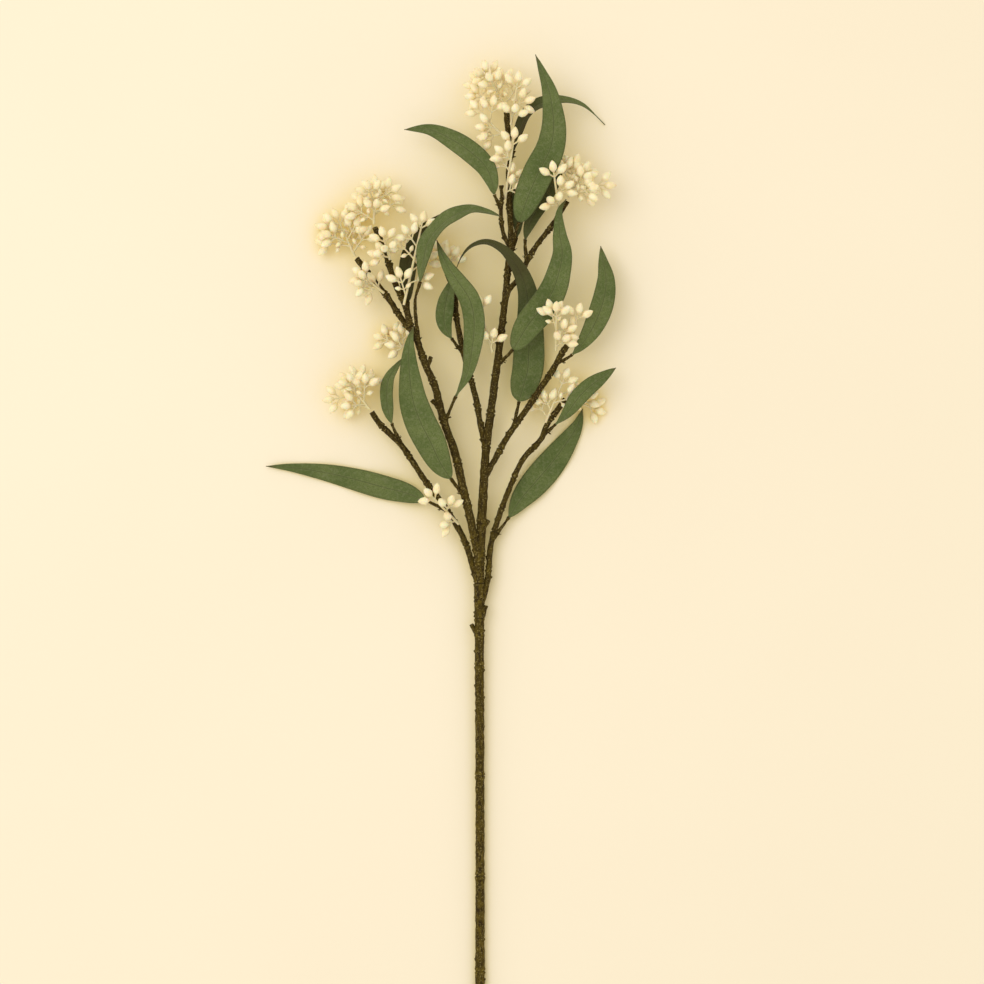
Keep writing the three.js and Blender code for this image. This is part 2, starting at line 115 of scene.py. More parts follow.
# Bud sprays, in millimetres
BUD_LENGTH = 10
BUD_RADIUS = 3.1
BUD_OUTLINE = (
    (0.12, 0.6), (0.3, 0.96), (0.46, 1.0), (0.62, 0.9), (0.8, 0.62), (0.92, 0.32),
)
BUD_FOOT = 0.3
BUD_TIP = 0.05
TRIO_STALK = 5.1
TRIO_STALK_RADIUS = (0.54, 0.72)
TRIO_SINK = 0.5
TRIO_OPENING = math.radians(48)
SMALL_BUD = 0.55
SMALL_STALK = 2.475
SMALL_STALK_RADIUS = (0.42, 0.49)
SMALL_SINK = 0.4
SMALL_LEAN = 0.5
TWIG_RADIUS = (0.7, 0.595)
SPRAY_STALK_RADIUS = (1.0925, 0.76)
SPRAY_OPENING = math.radians(60)
STALK_STEPS = 5
TWIGS_FROM = 0.12
TWIGS_TO = 0.92
TWIG_TURN = 2 * GOLDEN_ANGLE
TWIG_REACHES = (1, 0.65, 1.25)
LONG_TWIG = 8

# Colours of the finishes
BARK_DARK = (0.026, 0.014, 0.001, 1)
BARK_LIGHT = (0.150, 0.106, 0.012, 1)
BARK_PATCH = (0.060, 0.042, 0.004, 1)
# Painted shade for the stems near the spray's head
BARK_PAINTED_SHADE = (0.022, 0.013, 0.001, 1)
BARK_SPECK = (0.34, 0.27, 0.10, 1)
BARK_GROOVE = (0.028, 0.016, 0.002, 1)
LEAF_DEEP = (0.0899, 0.1232, 0.0312, 1)
LEAF_LIGHT = (0.145, 0.1792, 0.0552, 1)
LEAF_MOTTLE = (0.0551, 0.0812, 0.0144, 1)
LEAF_FLECK = (0.185, 0.2, 0.1, 1)
LEAF_EDGE = (0.0653, 0.077, 0.0168, 1)
LEAF_VEIN = (0.203, 0.231, 0.078, 1)
LEAF_SHOULDER = (0.2, 0.22, 0.09, 1)
LEAF_MIDRIB = (0.045, 0.06, 0.014, 1)
LEAF_TIP = (0.1, 0.07, 0.02, 1)
LEAF_BACK = (0.1087, 0.0952, 0.0216, 1)
# Brown of a leaf's back, also laid on as painted shade
LEAF_BROWN_AND_SHADE = (0.040, 0.030, 0.004, 1)
BUD_CREAM = (0.93, 0.79, 0.50, 1)
BUD_PALE = (1.0, 0.90, 0.66, 1)
BUD_GREEN = (0.72, 0.62, 0.34, 1)
BUD_POINT = (0.6, 0.42, 0.2, 1)
TWIG_CREAM = (0.74, 0.65, 0.40, 1)
BOARD_CREAM = (0.93, 0.83, 0.68, 1)
BOARD_PALE = (0.96, 0.87, 0.72, 1)
BOARD_SHADE = (0.96, 0.81, 0.37, 1)

# Studio, in metres
CAMERA_HEIGHT = 2.4
VIEW_WIDTH = 0.7872
SENSOR_WIDTH = 36
BOARD_HALF = 6

# Routes are in millimetres, with x across the spray and y from its foot to its tip. These
# are the lowest x of all routes' pieces, the foot's y, and the height of the lowest piece.
ROUTE_LEFT_X = -171.04
ROUTE_FOOT_Y = -22.04
ROUTE_BOTTOM_Z = -0.17

# The point of the view's middle, as a route point
VIEW_MIDDLE = (9.6, 390.4, 0)

SHIFT = Vector((
    cad_low.x - ROUTE_LEFT_X * MM,
    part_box("main_stem")[0].y - ROUTE_FOOT_Y * MM,
    -ROUTE_BOTTOM_Z * MM,
))

# A stem's radius is a list of evenly spaced values along its route. Its joints are lengths
# along it, and its stubs are the short pegs that stand out from it.
MAIN_STEM = {
    "name": "main_stem",
    "radius": (3.8, 3.6, 3.55, 3.6, 4.1, 3.3, 2.9, 2.3, 2.3),
    "route": [
        (0, -22, 3.9), (0, 150, 5.5), (-0.5, 280, 9), (-0.5, 330, 11.5), (2, 378, 14.5),
        (5, 425, 17.5), (10, 464, 20), (14, 494, 22), (20, 543, 25), (22.5, 571, 26.5),
        (24.5, 590, 27.5), (23, 624, 29), (23, 662, 31), (21, 690, 33),
    ],
    "joints": [
        30, 106, 186, 274, 300, 312, 327, 340, 357, 364, 388, 450, 476, 540, 588, 640, 676,
    ],
    "stubs": [
        [(0.5, 286, 9.5), (5, 300, 11.5)],
        [(-0.5, 273, 9), (-6.8, 285, 10.5)],
        [(2, 361, 13.5), (7, 368, 14.5)],
    ],
}

BRANCHES = [
    {
        "name": "lower_left_branch",
        "radius": (2.3, 2.4, 2.3),
        "route": [
            (-1, 315, 10.5), (-5, 328, 10.5), (-12, 351, 11), (-25, 374, 12),
            (-44, 400, 13), (-63, 428, 14.5), (-79, 444, 16), (-86, 454, 17),
        ],
        "joints": [34, 64, 92, 120, 150],
    },
    {
        "name": "left_branch",
        "radius": (3.1, 3.3, 3, 2.5, 2.2),
        "route": [
            (-0.5, 334, 12.5), (-4.5, 354, 15), (-8, 371, 17.5), (-13.5, 394, 20.5),
            (-20, 422, 23.5), (-29, 448, 26.5), (-36, 475, 28.5), (-43, 491, 29),
            (-50, 511, 29.5), (-54.5, 521, 30), (-58, 535, 30), (-68, 558, 28.5),
            (-73, 574, 27), (-83, 600, 24),
        ],
        "joints": [20, 48, 82, 118, 150, 172, 196, 222, 250],
        "stubs": [
            [(-31, 455, 27), (-38, 463, 28.5)],
            [(-42, 487, 29), (-38.5, 497, 31.5)],
        ],
    },
    {
        "name": "outer_bud_twig",
        "radius": (2.2, 2.3),
        "route": [(-52, 515, 29), (-63, 529, 26), (-74, 546, 21.5), (-84, 558, 17), (-98, 576, 12)],
        "joints": [22, 40, 62],
    },
    {
        "name": "centre_left_branch",
        "radius": (2.4, 2.2),
        "route": [
            (5.4, 422, 17), (0.5, 444, 17), (-3, 464, 17.5), (-7, 479, 18),
            (-14.5, 507, 18.5), (-19, 532, 18), (-20, 547, 17.5), (-26, 564, 16),
        ],
        "joints": [36, 60, 84, 110],
    },
    {
        "name": "lower_right_branch",
        "radius": (2.4, 2.2, 2.2),
        "route": [
            (1, 300, 9.5), (5.8, 319, 10), (8.6, 348, 10), (13.5, 366, 10), (25.5, 398, 11),
            (34, 416, 11.5), (49, 433, 12), (53, 443, 13), (61, 455, 14), (68, 464, 15),
        ],
        "joints": [30, 60, 80, 106, 134, 164],
    },
    {
        "name": "middle_right_branch",
        "radius": (2.4, 2.4),
        "route": [
            (4, 402, 17), (9.5, 412, 18), (17, 426, 20), (27, 442, 22), (37, 456, 24),
            (53, 480, 26.5), (60, 491, 28), (65, 500, 29), (72, 510, 30),
        ],
        "joints": [26, 50, 74, 96, 118],
    },
    {
        "name": "upper_right_branch",
        "radius": (2.2, 2),
        "route": [
            (19.5, 540, 25), (23, 550, 26.5), (30.5, 559, 28), (36.5, 571, 29.5),
            (46, 587, 30.5), (55, 598, 31.5), (69, 620, 32),
        ],
        "joints": [24, 44, 68],
    },
    {
        "name": "upper_left_twig",
        "radius": (1.7, 1.5),
        "route": [
            (24, 582, 27.5), (18, 597, 30.5), (16.5, 613, 33), (17.5, 624, 35), (16.5, 632, 36),
        ],
        "joints": [24, 40],
    },
]

# A leaf's route starts inside its branch. Its blade begins at point number "stalk".
LEAVES = [
    {
        "name": "tall_top_leaf",
        "branch": "main_stem",
        "width": 24,
        "widest": 0.3,
        "roll": (12, -14),
        "route": [
            (25, 586, 28), (31, 603, 36), (37, 620, 42), (46, 641, 46), (55, 659, 47),
            (58, 676, 46), (57, 692, 43), (54, 708, 39), (49, 722, 35), (44, 736, 30),
        ],
    },
    {
        "name": "top_right_leaf",
        "branch": "main_stem",
        "width": 12,
        "widest": 0.28,
        "fullness": 1.6,
        "roll": (48, 12),
        "route": [
            (23, 650, 30.5), (27, 660, 31), (30, 672, 32), (36, 687, 33), (44, 695, 32),
            (56, 700, 28), (69, 701, 22), (82, 698, 15), (92, 691, 8), (100, 684, 0.6),
        ],
    },
    {
        "name": "top_left_leaf",
        "branch": "upper_left_twig",
        "width": 17,
        "widest": 0.38,
        "roll": (8, -10),
        "route": [
            (16.5, 614, 33), (11.5, 625, 35), (10, 634, 37), (5, 646, 38), (-7, 658, 37),
            (-23, 669, 33), (-40, 677, 27), (-60, 678, 20),
        ],
    },
    {
        "name": "arching_left_leaf",
        "branch": "left_branch",
        "stalk": 2,
        "width": 17,
        "widest": 0.42,
        "roll": (38, 46),
        "route": [
            (-48, 506, 29), (-51, 541, 34), (-47, 556, 38), (-44, 574, 42), (-41, 586, 44),
            (-34, 596, 46), (-24, 605, 46), (-8, 612, 44), (5, 610.5, 43), (17, 607, 42),
        ],
    },
    {
        "name": "shaded_left_leaf",
        "branch": "left_branch",
        "width": 14,
        "widest": 0.35,
        "roll": (-12, 6),
        "route": [
            (-55, 522, 30), (-57, 541, 22), (-58, 560, 19.5), (-55, 580, 19), (-46, 596, 20),
            (-34, 606, 21), (-18, 615, 22),
        ],
    },
    {
        "name": "wide_centre_leaf",
        "branch": "middle_right_branch",
        "width": 25,
        "widest": 0.18,
        "fullness": 1.15,
        "roll": (4, -38),
        "route": [
            (27, 443, 22), (31, 462, 18), (35, 476, 14), (38, 488, 13), (39, 508, 13),
            (39, 528, 16), (38, 542, 22), (36, 553, 30), (31.5, 564, 35), (25, 574, 37),
            (17, 582, 38), (5, 587, 38.5), (-6, 584.5, 36), (-14, 577, 31), (-19, 567, 25),
        ],
    },
    {
        "name": "centre_right_leaf",
        "branch": "main_stem",
        "width": 23,
        "widest": 0.3,
        "roll": (-6, 12),
        "route": [
            (14, 491, 22), (26, 503, 28), (38, 522, 32), (51, 538, 35), (58, 550, 37),
            (62, 562, 38), (65, 578, 39), (63, 593, 39), (63, 612, 39), (68, 621, 38),
        ],
    },
    {
        "name": "s_curved_leaf",
        "branch": "left_branch",
        "width": 17,
        "widest": 0.5,
        "roll": (-14, 16),
        "route": [
            (-28, 445, 26), (-19, 466, 29), (-10, 484, 31), (-6, 504, 34), (-4.5, 526, 36),
            (-8, 542, 37), (-17, 556, 38), (-25, 568, 37), (-30, 578, 36), (-34, 589, 35),
        ],
    },
    {
        "name": "short_centre_leaf",
        "branch": "centre_left_branch",
        "width": 14,
        "widest": 0.45,
        "roll": (6, -10),
        "route": [
            (-14, 502, 18.5), (-22.5, 512, 22), (-28, 524, 24), (-27, 540, 24.5),
            (-24, 552, 24), (-22, 561, 23),
        ],
    },
    {
        "name": "long_lower_left_leaf",
        "branch": "lower_left_branch",
        "width": 19,
        "widest": 0.3,
        "roll": (4, -4),
        "route": [
            (-27, 376, 12), (-44, 384, 9), (-60, 390, 4.5), (-76, 394, 1.8), (-98, 400, 0.7),
            (-124, 406, 0.6), (-152, 410, 1.4), (-171, 411, 3),
        ],
    },
    {
        "name": "big_left_leaf",
        "branch": "left_branch",
        "width": 25,
        "widest": 0.35,
        "roll": (8, -12),
        "route": [
            (-12, 386, 19.5), (-23, 401, 24), (-31, 413, 27.5), (-39, 430, 31), (-47, 446, 33),
            (-52.5, 462, 34.5), (-55, 479, 35.5), (-56, 495, 36), (-55, 511, 36),
            (-52, 521, 36),
        ],
    },
    {
        "name": "small_left_leaf",
        "branch": "lower_left_branch",
        "width": 11,
        "widest": 0.4,
        "roll": (20, 10),
        "route": [
            (-63, 429, 14.5), (-70, 445, 18), (-73.5, 462, 20), (-72.5, 479, 21),
            (-66, 490, 21), (-61, 497, 20),
        ],
    },
    {
        "name": "lower_right_leaf",
        "branch": "lower_right_branch",
        "width": 23,
        "widest": 0.42,
        "roll": (-4, 6),
        "route": [
            (11, 354, 10), (23, 370, 7.5), (32, 384, 4), (44, 398, 1.6), (56, 412, 0.8),
            (68, 428, 0.6), (78, 444, 1.4), (82, 457, 3.2),
        ],
    },
    {
        "name": "short_right_leaf",
        "branch": "lower_right_branch",
        "width": 14,
        "widest": 0.5,
        "roll": (18, 2),
        "route": [
            (51, 436, 12.3), (60, 444, 17), (70, 454, 23), (78, 465, 26), (86, 473, 26),
            (98, 482, 23), (108, 489, 18),
        ],
    },
    {
        "name": "upper_right_leaf",
        "branch": "middle_right_branch",
        "width": 18,
        "widest": 0.45,
        "roll": (-10, 12),
        "route": [
            (61, 492, 28), (73, 499, 31), (84, 512, 31.5), (92, 526, 30), (98, 543, 26.5),
            (100, 559, 22), (98, 573, 17.5), (96, 586, 14),
        ],
    },
    {
        "name": "hidden_right_leaf",
        "branch": "upper_right_branch",
        "width": 12,
        "widest": 0.4,
        "roll": (10, -10),
        "route": [
            (37, 572, 29.5), (36, 590, 27.5), (41, 606, 27), (52, 624, 26), (61, 640, 25),
            (65, 660, 24),
        ],
    },
    {
        "name": "hidden_top_leaf",
        "branch": "main_stem",
        "width": 11,
        "widest": 0.4,
        "roll": (-14, -4),
        "route": [
            (24, 577, 27), (29, 592, 23.5), (30, 610, 22), (30, 624, 23), (34, 635, 25),
            (40, 647, 27), (43, 659, 28),
        ],
    },
]

# A spray's stalk runs from start to end. Its side twigs have a reach in millimetres, are
# turned round the stalk from the angle spin, and lie flatter the smaller flat is.
SPRAYS = [
    {
        "name": "tip_buds",
        "start": (20.6, 692.5, 33.5),
        "end": (8, 718.5, 29.5),
        "twigs": 8, "reach": 12, "flat": 0.8, "spin": 6.1,
    },
    {
        "name": "tip_left_buds",
        "start": (19, 670, 35.5),
        "end": (2, 688.5, 37.5),
        "twigs": 3, "reach": 6, "flat": 0.4, "spin": 3.7,
    },
    {
        "name": "tip_right_buds",
        "start": (24.5, 680, 34),
        "end": (29, 707.5, 43.5),
        "twigs": 2, "reach": 6, "flat": 0.45, "spin": 1.5,
    },
    {
        "name": "upper_stem_buds",
        "start": (20, 622, 32.5),
        "end": (26, 663, 45),
        "twigs": 4, "reach": 3.5, "flat": 0.45, "spin": 0.7,
    },
    {
        "name": "upper_right_buds",
        "start": (70, 622.5, 33),
        "end": (79.5, 638.5, 34.5),
        "twigs": 8, "reach": 14, "flat": 0.6, "spin": 1,
    },
    {
        "name": "upper_fork_buds",
        "start": (62.5, 612, 35),
        "end": (58.5, 637, 49.5),
        "twigs": 2, "reach": 5, "flat": 0.45, "spin": 1.9,
    },
    {
        "name": "inner_left_buds",
        "start": (-84, 602.5, 24),
        "end": (-83.5, 627.5, 23.5),
        "twigs": 8, "reach": 11, "flat": 0.8, "spin": 2.9,
    },
    {
        "name": "outer_left_buds",
        "start": (-99.5, 578, 11.6),
        "end": (-111, 603, 15),
        "twigs": 8, "reach": 12, "flat": 0.45, "spin": 0.3,
    },
    {
        "name": "inner_twig_buds",
        "start": (-71, 574, 31),
        "end": (-74.5, 587, 39),
        "twigs": 2, "reach": 4, "flat": 0.8, "spin": 3.2,
    },
    {
        "name": "outer_side_buds",
        "start": (-76, 548, 24),
        "end": (-90, 559, 31),
        "twigs": 3, "reach": 5, "flat": 0.4, "spin": 4.9,
    },
    {
        "name": "left_cluster_buds",
        "start": (-60, 538, 33),
        "end": (-46.5, 598.5, 32.5),
        "twigs": 5, "reach": 11, "flat": 0.3, "spin": 1.9,
    },
    {
        "name": "side_left_buds",
        "start": (-52, 503, 26.5),
        "end": (-73, 511, 16),
        "twigs": 3, "reach": 7, "flat": 0.3, "spin": 1.7,
    },
    {
        "name": "lower_end_buds",
        "start": (-87.4, 456, 17.2),
        "end": (-102, 474, 19),
        "twigs": 8, "reach": 12, "flat": 0.7, "spin": 4,
    },
    {
        "name": "low_node_buds",
        "start": (-17, 365, 15),
        "end": (-35.5, 384.5, 34),
        "twigs": 2, "reach": 4, "flat": 0.4, "spin": 2.2,
    },
    {
        "name": "centre_buds",
        "start": (10, 501, 25),
        "end": (1, 534, 31.5),
        "twigs": 1, "reach": 4, "flat": 0.3, "spin": 1.3,
    },
    {
        "name": "right_fork_buds",
        "start": (60, 502, 31),
        "end": (60, 527.5, 48.5),
        "twigs": 3, "reach": 8, "flat": 0.4, "spin": 1.2,
    },
    {
        "name": "right_end_buds",
        "start": (73.4, 512.4, 31),
        "end": (76.5, 526.5, 38),
        "twigs": 1, "reach": 2, "flat": 0.6, "spin": 3.6,
    },
    {
        "name": "lower_right_buds",
        "start": (52, 445.5, 16.2),
        "end": (65, 476, 19.5),
        "twigs": 4, "reach": 8, "flat": 0.2, "spin": 3.7,
    },
    {
        "name": "far_right_buds",
        "start": (69.6, 465, 14.6),
        "end": (88, 458, 8),
        "twigs": 2, "reach": 5, "flat": 0.6, "spin": 4,
    },
    {
        "name": "hidden_centre_buds",
        "start": (-27.4, 566, 15.8),
        "end": (-32, 578, 16.5),
        "twigs": 3, "reach": 8, "flat": 0.5, "spin": 0.7,
    },
]

# Where a leaf turns from green to brown, as shares of its length, and how far. The brown is partly
# the colour of a leaf's back and partly painted shade, on leaves and parts that lie in shade.
BROWN_AND_PAINTED_SHADE = {
    "wide_centre_leaf": (0.38, 0.6, 0.85),
    "top_right_leaf": (0.55, 0.2, 0.95),
    "shaded_left_leaf": (-1.0, -0.5, 0.9),
    "hidden_top_leaf": (-1.0, -0.5, 0.6),
    "hidden_right_leaf": (-1.0, -0.5, 0.6),
}


# --- Routes ---------------------------------------------------------------------------


def spline_point(points, share):
    """A point on the centripetal Catmull-Rom curve through these points."""
    count = len(points)
    place = share * (count - 1)
    number = min(int(place), count - 2)
    weight = place - number
    first, second = points[number], points[number + 1]
    before = points[number - 1] if number > 0 else first * 2 - second
    after = points[number + 2] if number + 2 < count else second * 2 - first
    step_before = (first - before).length ** 0.5
    step = (second - first).length ** 0.5
    step_after = (after - second).length ** 0.5
    leaving = (
        (first - before) / step_before
        - (second - before) / (step_before + step)
        + (second - first) / step
    ) * step
    arriving = (
        (second - first) / step
        - (after - first) / (step + step_after)
        + (after - second) / step_after
    ) * step
    square, cube = weight * weight, weight**3
    return (
        first * (2 * cube - 3 * square + 1)
        + leaving * (cube - 2 * square + weight)
        + second * (3 * square - 2 * cube)
        + arriving * (cube - square)
    )


def along_list(values, share):
    """The value at a share of the way along a list of evenly spaced values."""
    place = min(max(share, 0.0), 1.0) * (len(values) - 1)
    number = min(int(place), len(values) - 2)
    return values[number] + (values[number + 1] - values[number]) * (place - number)


class Route:
    """A smooth line through given points, measured in millimetres along its length."""

    def __init__(self, points):
        self.knots = [Vector(point) for point in points]
        pieces = CURVE_STEPS * (len(points) - 1)
        self.line = [spline_point(self.knots, i / pieces) for i in range(pieces + 1)]
        self.reach = [0.0]
        for here, there in zip(self.line, self.line[1:]):
            self.reach.append(self.reach[-1] + (there - here).length)
        self.length = self.reach[-1]

    def length_at_knot(self, number):
        return self.reach[CURVE_STEPS * number]

    def at(self, length):
        wanted = min(max(length, 0.0), self.length)
        low, high = 0, len(self.reach) - 1
        while high - low > 1:
            middle = (low + high) // 2
            if self.reach[middle] <= wanted:
                low = middle
            else:
                high = middle
        gap = self.reach[high] - self.reach[low]
        return self.line[low].lerp(self.line[high], (wanted - self.reach[low]) / gap)

    def station(self, length):
        """The place on the line, and the forward, sideways and upward directions there."""
        forward = (self.at(length + 0.5) - self.at(length - 0.5)).normalized()
        side = forward.cross(UP).normalized()
        return self.at(length), forward, side, side.cross(forward).normalized()


def framed(point):
    """A route point in metres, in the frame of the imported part."""
    return Vector(point) * MM + SHIFT


# --- Node trees -----------------------------------------------------------------------


def place(tree, kind, feeds=None, **settings):
    """Adds a node, sets its options, and feeds its inputs by name or number."""
    node = tree.nodes.new(kind)
    for option, value in settings.items():
        setattr(node, option, value)
    for socket, value in (feeds or {}).items():
        if isinstance(value, bpy.types.NodeSocket):
            tree.links.new(value, node.inputs[socket])
        else:
            node.inputs[socket].default_value = value
    return node


def math_node(tree, operation, first, second=0.0):
    return place(tree, "ShaderNodeMath", {0: first, 1: second}, operation=operation).outputs[0]


def times(tree, first, second):
    return math_node(tree, "MULTIPLY", first, second)


def plus(tree, first, second):
    return math_node(tree, "ADD", first, second)


def vector_scaled(tree, vector, scale):
    node = place(tree, "ShaderNodeVectorMath", {0: vector, "Scale": scale}, operation="SCALE")
    return node.outputs[0]


def vector_added(tree, first, second):
    return place(tree, "ShaderNodeVectorMath", {0: first, 1: second}, operation="ADD").outputs[0]


def point_value(tree, name, kind="FLOAT"):
    node = place(tree, "GeometryNodeInputNamedAttribute", {"Name": name}, data_type=kind)
    return node.outputs[0]


def stored(tree, geometry, name, value, domain="POINT"):
    node = place(
        tree,
        "GeometryNodeStoreNamedAttribute",
        {"Geometry": geometry, "Name": name, "Value": value},
        data_type="FLOAT",
        domain=domain,
    )
    return node.outputs[0]


def new_tree(name, inputs):
    """A geometry tree with these named inputs. Returns it and its group input node."""
    tree = bpy.data.node_groups.new(name, "GeometryNodeTree")
    tree.interface.new_socket("Geometry", in_out="INPUT", socket_type="NodeSocketGeometry")
    for label, kind, value in inputs:
        socket = tree.interface.new_socket(label, in_out="INPUT", socket_type=kind)
        if value is not None:
            socket.default_value = value
    tree.interface.new_socket("Geometry", in_out="OUTPUT", socket_type="NodeSocketGeometry")
    return tree, tree.nodes.new("NodeGroupInput")


def close_tree(tree, geometry, material):
    """Ends a tree: smooth faces, no instances left, and its finish set."""
    smooth = place(tree, "GeometryNodeSetShadeSmooth", {"Geometry": geometry})
    real = place(tree, "GeometryNodeRealizeInstances", {"Geometry": smooth.outputs[0]})
    finish = place(
        tree, "GeometryNodeSetMaterial", {"Geometry": real.outputs[0], "Material": material}
    )
    output = tree.nodes.new("NodeGroupOutput")
    tree.links.new(finish.outputs[0], output.inputs[0])


def swept(tree, polylines, radius, sides):
    """A round rod of this radius along each polyline, with closed ends."""
    curve = place(tree, "GeometryNodeMeshToCurve", {"Mesh": polylines}).outputs[0]
    circle = place(tree, "GeometryNodeCurvePrimitiveCircle", {"Resolution": sides, "Radius": 1.0})
    rod = place(
        tree,
        "GeometryNodeCurveToMesh",
        {"Curve": curve, "Profile Curve": circle.outputs[0], "Scale": radius, "Fill Caps": True},
    )
    return rod.outputs[0]


def noise(tree, scale, detail, vector):
    feeds = {"Scale": scale, "Detail": detail, "Vector": vector}
    return place(tree, "ShaderNodeTexNoise", feeds).outputs["Fac"]


def vein_wave(tree, along, out, turns):
    """Runs from 0 between two slanting side veins of a leaf to 1 on each of them."""
    slant = math_node(tree, "SUBTRACT", along, times(tree, out, VEIN_SLANT))
    swing = math_node(tree, "COSINE", times(tree, slant, turns))
    return times(tree, plus(tree, swing, 1.0), 0.5)


def bark_tree():
    """Stems: rods swept along their routes, ridged at the joints, with a rough bark."""
    tree, given = new_tree(
        "bark_rods",
        [
            ("Sides", "NodeSocketInt", 16),
            ("Joint Rise", "NodeSocketFloat", 0.7 * MM),
            ("Bark Depth", "NodeSocketFloat", 0.45 * MM),
            ("Lump Depth", "NodeSocketFloat", 1.3 * MM),
            ("Finish", "NodeSocketMaterial", None),
        ],
    )
    rise = times(tree, point_value(tree, "ring"), given.outputs["Joint Rise"])
    radius = plus(tree, point_value(tree, "thick"), rise)
    rods = swept(tree, given.outputs["Geometry"], radius, given.outputs["Sides"])
    spot = place(tree, "GeometryNodeInputPosition").outputs[0]
    stretched = place(
        tree, "ShaderNodeVectorMath", {0: spot, 1: (1.0, 0.35, 1.0)}, operation="MULTIPLY"
    ).outputs[0]
    grain = math_node(tree, "SUBTRACT", noise(tree, 1100.0, 2.0, stretched), 0.5)
    lumps = math_node(tree, "SUBTRACT", noise(tree, 190.0, 1.0, spot), 0.5)
    push = plus(
        tree,
        times(tree, grain, given.outputs["Bark Depth"]),
        times(tree, lumps, given.outputs["Lump Depth"]),
    )
    normal = place(tree, "GeometryNodeInputNormal").outputs[0]
    rough = place(
        tree,
        "GeometryNodeSetPosition",
        {"Geometry": rods, "Offset": vector_scaled(tree, normal, push)},
    ).outputs[0]
    close_tree(tree, rough, given.outputs["Finish"])
    return tree


